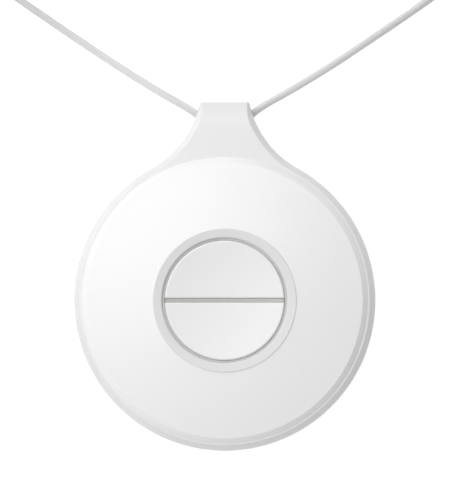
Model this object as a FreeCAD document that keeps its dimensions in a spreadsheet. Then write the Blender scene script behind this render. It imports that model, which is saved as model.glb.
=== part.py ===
import FreeCAD, Part
import Sketcher
import math
import os

# Wireless panic button: a round two-key pendant on a neck cord with a breakaway clasp.
# Frame: origin on the disc's axis at its back, +Z out of the front face, +Y towards the cord tab.

os.makedirs("parts", exist_ok=True)
doc = FreeCAD.newDocument("PanicButton")
Vector = FreeCAD.Vector
Placement = FreeCAD.Placement
Rotation = FreeCAD.Rotation


# Driving dimensions in millimetres and degrees

dimensions = {
    "disc_radius": 22.0,
    "ledge_height": 9.6,
    "front_edge_bevel": 0.85,
    "front_edge_round": 1.3,
    "back_edge_round": 1.8,
    "side_step": 0.12,
    "fine_round": 0.12,
    "wall": 1.4,
    "cavity_radius": 19.9,
    "shelf_height": 8.0,
    "cap_radius": 20.78,
    "cap_skirt_radius": 20.6,
    "cap_gap": 0.03,
    "cap_lip": 0.07,
    "lap_gap": 0.01,
    "cap_rim_bottom": 8.6,
    "plateau_radius": 20.02,
    "plateau_height": 10.7,
    "dome_radius": 160.0,
    "cap_wall": 1.5,
    "tab_top": 28.86,
    "flank_radius": 14.25,
    "flank_angle": 61.0,
    "tab_back": 4.4,
    "tab_root_round": 1.1,
    "tab_corner_round": 0.25,
    "tab_back_round": 0.9,
    "nose_start": 25.2,
    "nose_radius": 11.5,
    "bore_y": 26.3,
    "bore_z": 6.6,
    "bore_radius": 0.85,
    "bore_throat": 1.4,
    "bore_mouth": 4.0,
    "bore_flare": 0.7,
    "key_radius": 8.7,
    "key_split": 0.58,
    "key_top": 11.6,
    "key_dish_radius": 105.0,
    "key_underside": 9.9,
    "key_flange_radius": 9.8,
    "key_flange_top": 10.35,
    "key_edge_round": 0.25,
    "key_clearance": 0.35,
    "key_centre": 4.6,
    "stem_radius": 1.3,
    "well_radius": 9.95,
    "well_bottom": 9.0,
    "well_outer": 11.15,
    "bezel_inner": 9.28,
    "bezel_wall": 9.03,
    "bezel_outer": 10.4,
    "bezel_neck": 10.25,
    "bezel_seat": 10.95,
    "bezel_top": 11.74,
    "bezel_slope": 0.06,
    "lip_radius": 8.74,
    "lip_bottom": 10.4,
    "lip_top": 11.0,
    "guide_width": 1.5,
    "guide_top": 10.35,
    "guide_tongue": 0.5,
    "guide_depth": 0.3,
    "membrane_roof": 8.6,
    "membrane_bend": 9.1,
    "membrane_foot": 9.3,
    "web_bottom": 9.1,
    "web_top": 9.55,
    "board_radius": 18.5,
    "board_bottom": 6.0,
    "board_top": 7.0,
    "pillar_circle": 17.7,
    "pillar_radius": 2.3,
    "post_circle": 16.33,
    "post_angle": -25.0,
    "post_radius": 1.7,
    "rib_width": 1.0,
    "boss_radius": 1.85,
    "case_screw_head": 1.6,
    "case_screw_radius": 0.75,
    "case_screw_seat": 1.6,
    "case_screw_tip": 9.6,
    "case_screw_height": 1.1,
    "board_screw_head": 1.25,
    "board_screw_radius": 0.6,
    "board_screw_tip": 3.0,
    "board_screw_height": 0.8,
    "switch_size": 4.5,
    "switch_base_top": 8.4,
    "switch_frame": 0.15,
    "plunger_radius": 1.1,
    "plunger_top": 8.9,
    "cell_radius": 10.0,
    "cell_bottom": 1.9,
    "cell_thickness": 3.2,
    "hatch_radius": 11.4,
    "collar_radius": 13.4,
    "collar_top": 3.4,
    "gallery_bottom": 1.3,
    "gallery_top": 2.1,
    "gallery_radius": 12.3,
    "door_radius": 11.25,
    "door_back": 0.3,
    "door_plate_top": 1.5,
    "door_skirt_top": 3.3,
    "door_skirt_wall": 0.9,
    "door_groove_bottom": 2.45,
    "door_groove_top": 3.05,
    "door_groove_depth": 0.45,
    "coin_slot_reach": 6.4,
    "coin_slot_half": 0.9,
    "coin_slot_depth": 0.75,
    "lug_radius": 12.15,
    "lug_angle": 18.0,
    "entry_angle": 24.0,
    "door_turn": 40.0,
    "seal_section": 0.29,
    "cord_diameter": 1.1,
    "coil_x": 15.0,
    "coil_y": 60.0,
    "coil_radius": 6.5,
    "coil_band": 3.92,
    "coil_layer": 1.11,
    "clasp_left": -24.0,
    "clasp_y": 64.0,
    "clasp_radius": 2.0,
    "clasp_half": 8.0,
}

sheet = doc.addObject("Spreadsheet::Sheet", "Dims")
for row, (alias, number) in enumerate(dimensions.items(), 1):
    sheet.set(f"A{row}", alias.replace("_", " "))
    sheet.set(f"B{row}", str(number))
    sheet.setAlias(f"B{row}", alias)
doc.recompute()


class Size:
    # A number that keeps the spreadsheet formula it comes from

    def __init__(self, value, formula):
        self.value = float(value)
        self.formula = formula

    def __add__(self, other):
        other = as_size(other)
        return Size(self.value + other.value, f"({self.formula} + {other.formula})")

    def __sub__(self, other):
        other = as_size(other)
        return Size(self.value - other.value, f"({self.formula} - {other.formula})")

    def __mul__(self, other):
        other = as_size(other)
        return Size(self.value * other.value, f"({self.formula} * {other.formula})")

    def __truediv__(self, other):
        other = as_size(other)
        return Size(self.value / other.value, f"({self.formula} / {other.formula})")

    def __neg__(self):
        return Size(-self.value, f"(0 - {self.formula})")

    def __rsub__(self, other):
        return as_size(other) - self


def as_size(number):
    if isinstance(number, Size):
        return number
    return Size(number, f"({float(number):.6f})")


def cosine(angle):
    angle = as_size(angle)
    return Size(math.cos(math.radians(angle.value)), f"cos({angle.formula})")


def sine(angle):
    angle = as_size(angle)
    return Size(math.sin(math.radians(angle.value)), f"sin({angle.formula})")


def root(number):
    return Size(math.sqrt(number.value), f"sqrt({number.formula})")


def size(alias):
    return Size(dimensions[alias], f"Dims.{alias}")


# Sketches and features

def new_body(label):
    body = doc.addObject("PartDesign::Body", label)
    body.Label = label
    return body


def origin_of(body, role):
    for feature in body.Origin.OriginFeatures:
        if feature.Role == role:
            return feature


def new_sketch(body, plane, lift, turn):
    sketch = body.newObject("Sketcher::SketchObject", body.Label + "_sketch")
    sketch.AttachmentSupport = [(origin_of(body, plane), "")]
    sketch.MapMode = "FlatFace"
    spin = Rotation(Vector(0, 1, 0), turn)
    offset = [as_size(part) for part in lift]
    sketch.AttachmentOffset = Placement(Vector(*[part.value for part in offset]), spin)
    for axis, part in zip("xyz", offset):
        if part.value:
            sketch.setExpression(f"AttachmentOffset.Base.{axis}", part.formula)
    return sketch


def hold(sketch, kind, geometry, point, number):
    # Ties one coordinate of a sketch point, measured from the sketch's origin, to a formula
    number = as_size(number)
    index = sketch.addConstraint(Sketcher.Constraint(kind, -1, 1, geometry, point, number.value))
    sketch.setExpression(f"Constraints[{index}]", number.formula)


def hold_radius(sketch, geometry, radius):
    radius = as_size(radius)
    index = sketch.addConstraint(Sketcher.Constraint("Radius", geometry, radius.value))
    sketch.setExpression(f"Constraints[{index}]", radius.formula)


def arc_between(start, end, radius):
    # Arc shorter than half a turn: radius above zero turns left, below zero turns right
    chord = end - start
    middle = start + chord / 2
    rise = math.sqrt(max(radius * radius - chord.Length ** 2 / 4, 0.0))
    side = Vector(-chord.y, chord.x, 0) / chord.Length
    centre = middle + side * math.copysign(rise, radius)
    from_point, to_point = (start, end) if radius > 0 else (end, start)
    first = math.atan2(from_point.y - centre.y, from_point.x - centre.x)
    last = math.atan2(to_point.y - centre.y, to_point.x - centre.x)
    return Part.ArcOfCircle(Part.Circle(centre, Vector(0, 0, 1), abs(radius)), first, last)


def outline(body, plane, corners, lift=(0, 0, 0), turn=0):
    # Closed outline: each corner is (x, y), or (x, y, radius) where an arc runs to the next one
    sketch = new_sketch(body, plane, lift, turn)
    places = [Vector(as_size(c[0]).value, as_size(c[1]).value, 0) for c in corners]
    begins = []
    ends = []
    for index, corner in enumerate(corners):
        start = places[index]
        end = places[(index + 1) % len(corners)]
        if len(corner) == 2:
            geometry = sketch.addGeometry(Part.LineSegment(start, end))
            turns_left = True
        else:
            radius = as_size(corner[2])
            geometry = sketch.addGeometry(arc_between(start, end, radius.value))
            turns_left = radius.value > 0
        begins.append((geometry, 1 if turns_left else 2))
        ends.append((geometry, 2 if turns_left else 1))
    for index in range(len(corners)):
        following = begins[(index + 1) % len(corners)]
        sketch.addConstraint(Sketcher.Constraint("Coincident", *ends[index], *following))
    for (geometry, point), corner in zip(begins, corners):
        hold(sketch, "DistanceX", geometry, point, corner[0])
        hold(sketch, "DistanceY", geometry, point, corner[1])
        if len(corner) == 3:
            radius = as_size(corner[2])
            hold_radius(sketch, geometry, radius if radius.value > 0 else -radius)
    return sketch


def circle(body, plane, x, y, radius, lift=(0, 0, 0), turn=0):
    sketch = new_sketch(body, plane, lift, turn)
    centre = Vector(as_size(x).value, as_size(y).value, 0)
    geometry = sketch.addGeometry(Part.Circle(centre, Vector(0, 0, 1), as_size(radius).value))
    hold(sketch, "DistanceX", geometry, 3, x)
    hold(sketch, "DistanceY", geometry, 3, y)
    hold_radius(sketch, geometry, radius)
    return sketch


def long_slot(body, reach, half, lift):
    # Flat slot along X with round ends, whose end centres stand at plus and minus reach
    sketch = new_sketch(body, "XY_Plane", lift, 0)
    far = as_size(reach).value
    wide = as_size(half).value
    quarter = math.pi / 2
    lower = sketch.addGeometry(Part.LineSegment(Vector(-far, -wide, 0), Vector(far, -wide, 0)))
    right = sketch.addGeometry(Part.ArcOfCircle(Part.Circle(Vector(far, 0, 0), Vector(0, 0, 1), wide),
                                                -quarter, quarter))
    upper = sketch.addGeometry(Part.LineSegment(Vector(far, wide, 0), Vector(-far, wide, 0)))
    left = sketch.addGeometry(Part.ArcOfCircle(Part.Circle(Vector(-far, 0, 0), Vector(0, 0, 1), wide),
                                               quarter, 3 * quarter))
    for first, second in ((lower, right), (right, upper), (upper, left), (left, lower)):
        sketch.addConstraint(Sketcher.Constraint("Tangent", first, 2, second, 1))
    hold(sketch, "DistanceX", right, 3, reach)
    hold(sketch, "DistanceY", right, 3, 0)
    hold(sketch, "DistanceX", left, 3, -as_size(reach))
    hold(sketch, "DistanceY", left, 3, 0)
    hold_radius(sketch, right, half)
    return sketch


def wedge(body, begin, finish, inner, outer, lift):
    # Piece of a ring round the axis, between two angles and two radii
    return outline(body, "XY_Plane", [
        polar(begin, inner),
        (*polar(begin, outer), outer),
        polar(finish, outer),
        (*polar(finish, inner), -inner),
    ], (0, 0, lift))


def rectangle(body, plane, left, right, low, high, lift=(0, 0, 0), turn=0):
    corners = [(left, low), (right, low), (right, high), (left, high)]
    return outline(body, plane, corners, lift, turn)


def feature(body, kind, sketch):
    made = body.newObject(f"PartDesign::{kind}", f"{body.Label}_{kind.lower()}")
    made.Profile = sketch
    body.Tip = made
    return made


def pad(body, sketch, length, both_ways=False):
    made = feature(body, "Pad", sketch)
    made.SideType = "Symmetric" if both_ways else "One side"
    made.setExpression("Length", as_size(length).formula)
    return made


def pocket(body, sketch, length, both_ways=False, upward=False):
    made = feature(body, "Pocket", sketch)
    made.SideType = "Symmetric" if both_ways else "One side"
    made.Reversed = upward
    made.setExpression("Length", as_size(length).formula)
    return made


def turned(body, sketch, angle=360.0, axis=None):
    made = feature(body, "Revolution", sketch)
    made.ReferenceAxis = axis or (origin_of(body, "Z_Axis"), [""])
    made.Angle = angle
    return made


def turned_cut(body, sketch, axis=None):
    made = feature(body, "Groove", sketch)
    made.ReferenceAxis = axis or (origin_of(body, "Z_Axis"), [""])
    made.Angle = 360.0
    return made


def around(body, originals, count):
    made = body.newObject("PartDesign::PolarPattern", f"{body.Label}_pattern")
    made.Originals = originals
    made.Axis = (origin_of(body, "Z_Axis"), [""])
    made.Angle = 360.0
    made.Occurrences = count
    body.Tip = made
    return made


def mirrored(body, originals):
    made = body.newObject("PartDesign::Mirrored", f"{body.Label}_mirror")
    made.Originals = originals
    made.MirrorPlane = (origin_of(body, "YZ_Plane"), [""])
    body.Tip = made
    return made


def rounded(body, base, radius, wanted):
    doc.recompute()
    names = []
    for number, edge in enumerate(base.Shape.Edges, 1):
        if wanted(edge.BoundBox):
            names.append(f"Edge{number}")
    made = body.newObject("PartDesign::Fillet", f"{body.Label}_fillet")
    made.Base = (base, names)
    made.setExpression("Radius", as_size(radius).formula)
    body.Tip = made
    return made


def bevelled(body, base, width, wanted):
    doc.recompute()
    names = []
    for number, edge in enumerate(base.Shape.Edges, 1):
        if wanted(edge.BoundBox):
            names.append(f"Edge{number}")
    made = body.newObject("PartDesign::Chamfer", f"{body.Label}_chamfer")
    made.Base = (base, names)
    made.setExpression("Size", as_size(width).formula)
    body.Tip = made
    return made


def near(first, second):
    return abs(first - second) < 0.01


def flat_at(box, height):
    return near(box.ZMin, height) and near(box.ZMax, height)


def block(label, width, depth, height, x, y, z):
    # Small box centred on x and y, standing on z
    made = doc.addObject("Part::Box", label)
    for name, number in (("Length", width), ("Width", depth), ("Height", height)):
        made.setExpression(name, as_size(number).formula)
    made.setExpression("Placement.Base.x", (as_size(x) - as_size(width) / 2).formula)
    made.setExpression("Placement.Base.y", (as_size(y) - as_size(depth) / 2).formula)
    made.setExpression("Placement.Base.z", as_size(z).formula)
    return made


nodes = []


def keep(item):
    nodes.append(item)
    return item


def polar(angle, along, aside=0):
    # Point at a distance along a ray from the axis, and moved aside of it to the left
    angle = as_size(angle)
    return cosine(angle) * along - sine(angle) * aside, sine(angle) * along + cosine(angle) * aside


def dome_height(radius):
    # Height of the cap's spherical dome at a distance from the axis
    bowl = size("dome_radius") * size("dome_radius")
    edge = size("plateau_radius") * size("plateau_radius")
    here = as_size(radius) * as_size(radius)
    return size("plateau_height") + root(bowl - here) - root(bowl - edge)


# Wires and cords: each route is a list of points that the wire bends past

def arc_radius(before, corner, after):
    first = corner - before
    second = after - corner
    turn = first.getAngle(second)
    return 0.45 * min(first.Length, second.Length) / math.tan(turn / 2)


def tube_path(route):
    points = [Vector(*point) for point in route]
    edges = []
    radii = []
    here = points[0]
    for before, corner, after in zip(points, points[1:], points[2:]):
        radius = arc_radius(before, corner, after)
        back = (before - corner).normalize()
        ahead = (after - corner).normalize()
        trim = 0.45 * min((corner - before).Length, (after - corner).Length)
        start = corner + back * trim
        end = corner + ahead * trim
        bisector = (back + ahead).normalize()
        centre = corner + bisector * math.hypot(radius, trim)
        middle = centre - bisector * radius
        edges.append(Part.LineSegment(here, start).toShape())
        edges.append(Part.Arc(start, middle, end).toShape())
        radii.append(radius)
        here = end
    edges.append(Part.LineSegment(here, points[-1]).toShape())
    return Part.Wire(edges), radii


def make_tube(label, route, radius, trim_by=None):
    path, radii = tube_path(route)
    start = Vector(*route[0])
    heading = Vector(*route[1]) - start
    ring = Part.Wire(Part.Circle(start, heading, radius).toShape())
    shape = path.makePipeShell([ring], True, False)
    share = shape.Volume / (math.pi * radius ** 2 * path.Length)
    print(label, "length", round(path.Length, 1), "volume share", round(share, 4))
    print(label, "radii", [round(number, 1) for number in radii])
    if trim_by:
        shape = shape.cut(trim_by.Shape)
    made = doc.addObject("Part::Feature", label)
    made.Shape = Part.Solid(shape.Solids[0])
    made.Label = label
    return keep(made)


# Rear housing

def make_rear_housing():
    body = new_body("rear_housing")
    disc = size("disc_radius")
    flank = size("flank_radius")
    angle = size("flank_angle")
    top = size("tab_top")
    ledge = size("ledge_height")
    # The flanks are arcs tangent to the disc, centred beyond it on either side of the tab
    flank_x, flank_y = polar(angle, disc + flank)
    half_top = flank_x - root(flank * flank - (flank_y - top) * (flank_y - top))
    meet_x, meet_y = polar(angle, disc)
    keyhole = outline(body, "XY_Plane", [
        (meet_x, meet_y, -flank),
        (half_top, top),
        (-half_top, top, -flank),
        (-meet_x, meet_y, disc),
        (0, -disc, disc),
    ])
    blank = pad(body, keyhole, ledge)
    front = ledge.value
    tip = top.value
    back_level = size("tab_back").value
    bevel = size("front_edge_bevel")
    face = bevelled(body, blank, bevel, lambda box: flat_at(box, front) and box.YMin < tip - 0.01)
    rounded(body, face, size("front_edge_round"),
            lambda box: flat_at(box, front - bevel.value) and box.YMin < tip - 0.01)

    # The back rounds up into a side wall that steps in a little, and the tab stands out of it
    back_round = size("back_edge_round")
    blend = size("tab_root_round")
    low = disc - size("side_step")
    beyond = disc + 12
    back = outline(body, "XZ_Plane", [
        (low - back_round, -2),
        (beyond, -2),
        (beyond, size("tab_back")),
        (low + blend, size("tab_back"), blend),
        (low, size("tab_back") - blend),
        (low, back_round, -back_round),
        (low - back_round, 0),
    ])
    turned_cut(body, back)

    # The tab's face leans back towards its tip
    nose_start = size("nose_start")
    nose = size("nose_radius")
    reach = top + 0.5
    nose_drop = nose - root(nose * nose - (reach - nose_start) * (reach - nose_start))
    lean = outline(body, "YZ_Plane", [
        (nose_start, ledge, -nose),
        (reach, ledge - nose_drop),
        (reach, ledge + 2),
        (nose_start, ledge + 2),
    ])
    leaned = pocket(body, lean, 20, both_ways=True)
    at_tip = tip - 0.01
    corners = rounded(body, leaned, size("tab_corner_round"),
                      lambda box: box.YMin > tip - 0.6 and box.YMax > at_tip
                      and box.ZMin > back_level - 0.01 and not flat_at(box, back_level))
    rounded(body, corners, size("tab_back_round"),
            lambda box: flat_at(box, back_level) and box.YMax > at_tip)

    # Inside: cap recess, sealing shelf, cavity, battery collar, bayonet gallery and hatch
    recess = size("cap_skirt_radius") + size("cap_gap")
    cavity = size("cavity_radius")
    hatch = size("hatch_radius")
    wall = size("wall")
    inside = outline(body, "XZ_Plane", [
        (0, -1),
        (hatch, -1),
        (hatch, size("gallery_bottom")),
        (size("gallery_radius"), size("gallery_bottom")),
        (size("gallery_radius"), size("gallery_top")),
        (hatch, size("gallery_top")),
        (hatch, size("collar_top")),
        (size("collar_radius"), size("collar_top")),
        (size("collar_radius"), wall),
        (cavity, wall),
        (cavity, size("shelf_height")),
        (recess, size("shelf_height")),
        (recess, ledge + 1),
        (0, ledge + 1),
    ])
    hollow = turned_cut(body, inside)
    rounded(body, hollow, size("fine_round"),
            lambda box: flat_at(box, 0) and near(box.XLength, 2 * hatch.value))

    # Three slots let the door's lugs into the gallery
    entry = size("entry_angle")
    slot = wedge(body, -size("door_turn") - entry / 2, -size("door_turn") + entry / 2,
                 hatch - 0.5, size("gallery_radius"), 0)
    slot_cut = pocket(body, slot, size("gallery_bottom"), upward=True)
    around(body, [slot_cut], 3)

    # Screw pillars for the cap, with counterbores in the back
    pillar_y = -size("pillar_circle")
    pillar = pad(body, circle(body, "XY_Plane", 0, pillar_y, size("pillar_radius"), (0, 0, wall / 2)),
                 size("shelf_height") - wall / 2)
    around(body, [pillar], 3)
    shank = pocket(body, circle(body, "XY_Plane", 0, pillar_y, size("case_screw_radius") + 0.1),
                   size("shelf_height"), upward=True)
    head = pocket(body, circle(body, "XY_Plane", 0, pillar_y, size("case_screw_head") + 0.15),
                  size("case_screw_seat"), upward=True)
    around(body, [shank, head], 3)

    # Posts for the circuit board, each braced against the side wall by a rib
    floor = (0, 0, wall / 2)
    post_angle = size("post_angle")
    post_x, post_y = polar(post_angle, size("post_circle"))
    post = pad(body, circle(body, "XY_Plane", post_x, post_y, size("post_radius"), floor),
               size("board_bottom") - wall / 2)
    mirrored(body, [post])
    pilot_end = size("board_screw_tip") - 0.2
    pilot = pocket(body, circle(body, "XY_Plane", post_x, post_y, size("board_screw_radius"),
                                (0, 0, pilot_end)), 4, upward=True)
    mirrored(body, [pilot])
    near_end = size("post_circle") + 1.1
    far_end = cavity + 0.3
    rib_half = size("rib_width") / 2
    rib = outline(body, "XY_Plane", [
        polar(post_angle, near_end, -rib_half),
        polar(post_angle, far_end, -rib_half),
        polar(post_angle, far_end, rib_half),
        polar(post_angle, near_end, rib_half),
    ], floor)
    brace = pad(body, rib, 4)
    mirrored(body, [brace])

    # Cord bore through the tab, opening out like a trumpet at each flank
    bore = size("bore_radius")
    flare = size("bore_flare")
    mouth = size("bore_mouth")
    throat = size("bore_throat")
    trumpet = (mouth - throat) * (mouth - throat) / flare / 2 + flare / 2
    outside = mouth + 2
    hole = outline(body, "XY_Plane", [
        (-outside, 0),
        (outside, 0),
        (outside, bore + flare),
        (mouth, bore + flare, trumpet),
        (throat, bore),
        (-throat, bore, trumpet),
        (-mouth, bore + flare),
        (-outside, bore + flare),
    ], (0, size("bore_y"), size("bore_z")))
    turned_cut(body, hole, (hole, ["H_Axis"]))
    return keep(body)


# Front cap

def make_front_cap():
    body = new_body("front_cap")
    rim = size("cap_radius")
    skirt = size("cap_skirt_radius")
    lap = size("ledge_height") + size("lap_gap")
    plateau = size("plateau_radius")
    dome = size("dome_radius")
    wall = size("cap_wall")
    seat = size("bezel_neck") + 0.03
    well = size("well_radius")
    tube = size("well_outer")
    inner_rim = skirt - wall + 0.25
    # Its rim laps over the housing's ledge and its skirt stands in the recess
    shell = outline(body, "XZ_Plane", [
        (skirt, size("cap_rim_bottom")),
        (skirt, lap),
        (rim, lap),
        (rim, lap + size("cap_lip")),
        (plateau, size("plateau_height"), dome),
        (seat, dome_height(seat)),
        (seat, size("bezel_seat")),
        (well, size("bezel_seat")),
        (well, size("well_bottom")),
        (tube, size("well_bottom")),
        (tube, dome_height(tube) - wall, -(dome - wall)),
        (inner_rim, dome_height(inner_rim) - wall),
        (inner_rim, size("cap_rim_bottom")),
    ])
    cap = turned(body, shell)
    crest = size("plateau_height").value
    rounded(body, cap, size("fine_round"), lambda box: flat_at(box, crest))
    boss_y = -size("pillar_circle")
    shelf = size("shelf_height")
    boss = pad(body, circle(body, "XY_Plane", 0, boss_y, size("boss_radius"), (0, 0, shelf)), 2)
    around(body, [boss], 3)
    pilot = pocket(body, circle(body, "XY_Plane", 0, boss_y, size("case_screw_radius"),
                                (0, 0, shelf)), size("case_screw_tip") - shelf + 0.2, upward=True)
    around(body, [pilot], 3)
    return keep(body)


def make_bezel_ring():
    body = new_body("bezel_ring")
    inner = size("bezel_inner")
    outer = size("bezel_outer")
    top = size("bezel_top")
    low = top - size("bezel_slope")
    skirt = size("well_radius") - 0.05
    neck = size("bezel_neck")
    lap = dome_height(neck + 0.03) + size("lap_gap")
    wall = size("bezel_wall")
    bend = inner - wall
    edge = top - lap - 0.02
    # It laps over the cap, rolls down round the keys, and its lip holds their flanges down
    section = outline(body, "XZ_Plane", [
        (size("lip_radius"), size("lip_bottom")),
        (skirt, size("lip_bottom")),
        (skirt, size("bezel_seat")),
        (neck, size("bezel_seat")),
        (neck, lap),
        (outer, lap),
        (outer, top - edge, edge),
        (outer - edge, top),
        (inner, low, bend),
        (wall, low - bend),
        (wall, size("lip_top")),
        (size("lip_radius"), size("lip_top")),
    ])
    turned(body, section)
    return keep(body)


# Keys: two half moons with a shared dished face, a flange under the bezel's lip and a stem each

def make_key(label, side):
    body = new_body(label)
    radius = size("key_radius")
    dish = size("key_dish_radius")
    depth = dish - root(dish * dish - radius * radius)
    section = outline(body, "XZ_Plane", [
        (0, size("key_underside")),
        (size("key_flange_radius"), size("key_underside")),
        (size("key_flange_radius"), size("key_flange_top")),
        (radius, size("key_flange_top")),
        (radius, size("key_top"), -dish),
        (0, size("key_top") - depth),
    ])
    turned(body, section)
    gap = size("key_split") / 2
    lower, upper = (gap - 30, gap) if side > 0 else (-gap, 30 - gap)
    split = rectangle(body, "XY_Plane", -30, 30, lower, upper, (0, 0, 5))
    half = pocket(body, split, 10, upward=True)
    edge = size("key_top").value
    rounded(body, half, size("key_edge_round"), lambda box: box.ZMin > edge - 0.45 and box.XLength > 4)

    # Rebate over the light guide, deep enough for the key's travel
    over_guide = size("guide_width") / 2 + 0.1
    rebate = rectangle(body, "XY_Plane", -30, 30, -over_guide, over_guide, (0, 0, 5))
    pocket(body, rebate, size("guide_top") - 5 + size("key_clearance"), upward=True)
    stem = circle(body, "XY_Plane", 0, side * size("key_centre").value, size("stem_radius"),
                  (0, 0, size("web_top")))
    pad(body, stem, size("key_underside") - size("web_top") + 0.2)
    return keep(body)


def make_light_guide():
    body = new_body("light_guide")
    half = size("guide_width") / 2
    reach = size("key_flange_radius") + 0.05
    foot = size("web_top") + 0.05
    pad(body, long_slot(body, reach - half, half, (0, 0, foot)), size("guide_top") - foot)
    # A tongue stands up between the keys and follows their dished top
    end = size("key_radius") - 0.1
    dish = size("key_dish_radius")
    level = size("key_top") - size("guide_depth")
    tongue = outline(body, "XZ_Plane", [
        (-end, size("guide_top") - 0.2),
        (end, size("guide_top") - 0.2),
        (end, level, -dish),
        (-end, level),
    ])
    pad(body, tongue, size("guide_tongue"), both_ways=True)
    return keep(body)


def make_key_membrane():
    body = new_body("key_membrane")
    web_top = size("web_top")
    rim = size("well_outer") - 0.05
    neck = size("well_radius") - 0.1
    section = outline(body, "XZ_Plane", [
        (0, size("web_bottom")),
        (size("membrane_roof"), size("web_bottom")),
        (size("membrane_bend"), size("web_bottom") - 0.5),
        (size("membrane_foot"), size("board_top")),
        (rim, size("board_top")),
        (rim, size("well_bottom")),
        (neck, size("well_bottom")),
        (neck, web_top),
        (0, web_top),
    ])
    turned(body, section)
    for side in (1, -1):
        bump = circle(body, "XY_Plane", 0, size("key_centre") * side, size("plunger_radius") + 0.2,
                      (0, 0, size("plunger_top")))
        pad(body, bump, size("web_bottom") - size("plunger_top") + 0.1)
    return keep(body)


# Electronics

def make_circuit_board():
    body = new_body("circuit_board")
    thick = size("board_top") - size("board_bottom")
    low = (0, 0, size("board_bottom"))
    pad(body, circle(body, "XY_Plane", 0, 0, size("board_radius"), low), thick)
    notch = circle(body, "XY_Plane", 0, -size("pillar_circle"), size("pillar_radius") + 0.3, low)
    around(body, [pocket(body, notch, thick, upward=True)], 3)
    post_x, post_y = polar(size("post_angle"), size("post_circle"))
    hole = circle(body, "XY_Plane", post_x, post_y, size("board_screw_radius") + 0.1, low)
    mirrored(body, [pocket(body, hole, thick, upward=True)])
    return keep(body)


def make_switch(place, side):
    centre = size("key_centre") * side
    half = size("switch_size") / 2
    board = size("board_top")
    base = new_body(f"{place}_switch_base")
    low = rectangle(base, "XY_Plane", -half, half, centre - half, centre + half, (0, 0, board))
    pad(base, low, size("switch_base_top") - board)
    pit = circle(base, "XY_Plane", 0, centre, size("plunger_radius") + 0.15, (0, 0, board + 0.7))
    pocket(base, pit, 2, upward=True)
    keep(base)
    frame = new_body(f"{place}_switch_frame")
    top = (0, 0, size("switch_base_top"))
    cut = 0.4
    cover = outline(frame, "XY_Plane", [
        (cut - half, centre - half),
        (half - cut, centre - half),
        (half, centre - half + cut),
        (half, centre + half - cut),
        (half - cut, centre + half),
        (cut - half, centre + half),
        (-half, centre + half - cut),
        (-half, centre - half + cut),
    ], top)
    pad(frame, cover, size("switch_frame"))
    hole = circle(frame, "XY_Plane", 0, centre, size("plunger_radius") + 0.05, top)
    pocket(frame, hole, size("switch_frame"), upward=True)
    keep(frame)
    plunger = new_body(f"{place}_switch_plunger")
    foot = circle(plunger, "XY_Plane", 0, centre, size("plunger_radius") + 0.1, (0, 0, board + 1.05))
    pad(plunger, foot, 0.3)
    rod = circle(plunger, "XY_Plane", 0, centre, size("plunger_radius"), (0, 0, board + 1.3))
    pad(plunger, rod, size("plunger_top") - board - 1.3)
    keep(plunger)


def make_status_led():
    body = new_body("status_led")
    board = (0, 0, size("board_top"))
    pad(body, rectangle(body, "XY_Plane", -0.8, 0.8, -0.4, 0.4, board), 0.3)
    pad(body, rectangle(body, "XY_Plane", -0.55, 0.55, -0.4, 0.4, board), 0.6)
    return keep(body)


def make_chips():
    board = size("board_top")
    away = 14.35
    keep(block("radio_chip", 4, 4, 0.85, away, 0.6, board))
    keep(block("crystal", 3.2, 2.5, 0.7, -away, 0.8, board))
    # Small parts in two rows of four along the edge away from the tab
    loose = []
    for index in range(8):
        angle = 218 + 12 * index + (20 if index > 3 else 0)
        x, y = polar(angle, 13.2)
        tall = 0.5 if index % 2 else 0.8
        loose.append(block(f"chip_part_{index}", 1.0, 0.6, tall, x, y, board))
    group = doc.addObject("Part::Compound", "board_parts")
    group.Links = loose
    keep(group)


def make_loop_antenna():
    # Bent wire hoop standing on the board along its tab side
    path = 16.6
    level = 8.2
    board = size("board_top").value
    spots = [polar(52 + 15.2 * step, path) for step in range(6)]
    hoop = [(x.value, y.value, level) for x, y in spots]
    first = (hoop[0][0], hoop[0][1], board)
    last = (hoop[-1][0], hoop[-1][1], board)
    return make_tube("loop_antenna", [first] + hoop + [last], 0.3)


# Battery

def make_coin_cell():
    body = new_body("coin_cell")
    low = size("cell_bottom")
    high = low + size("cell_thickness")
    radius = size("cell_radius")
    section = outline(body, "XZ_Plane", [
        (0, low),
        (radius - 0.5, low, 0.5),
        (radius, low + 0.5),
        (radius, high - 0.4),
        (radius - 0.25, high - 0.25),
        (radius - 1.0, high - 0.25),
        (radius - 1.2, high),
        (0, high),
    ])
    turned(body, section)
    return keep(body)


def make_contacts():
    under = size("board_bottom")
    thin = 0.2
    clip = new_body("positive_clip")
    clip_low = 3.6
    clip_width = 3
    side = size("cell_radius")
    foot_end = side + 2.4
    bent = outline(clip, "XZ_Plane", [
        (side, clip_low),
        (side + thin, clip_low),
        (side + thin, under - thin),
        (foot_end, under - thin),
        (foot_end, under),
        (side, under),
    ])
    pad(clip, bent, clip_width, both_ways=True)
    keep(clip)
    spring = new_body("negative_spring")
    touch = size("cell_bottom") + size("cell_thickness")
    leaf_width = 2.4
    foot_start = -6
    bend = -3.6
    rest = -0.6
    leaf = outline(spring, "XZ_Plane", [
        (foot_start, under - thin),
        (bend, under - thin),
        (rest, touch),
        (rest + 2, touch),
        (rest + 2.6, touch + 0.25),
        (rest + 2.45, touch + 0.35),
        (rest + 1.9, touch + thin),
        (rest + 0.1, touch + thin),
        (bend + 0.1, under),
        (foot_start, under),
    ])
    pad(spring, leaf, leaf_width, both_ways=True)
    keep(spring)


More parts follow.
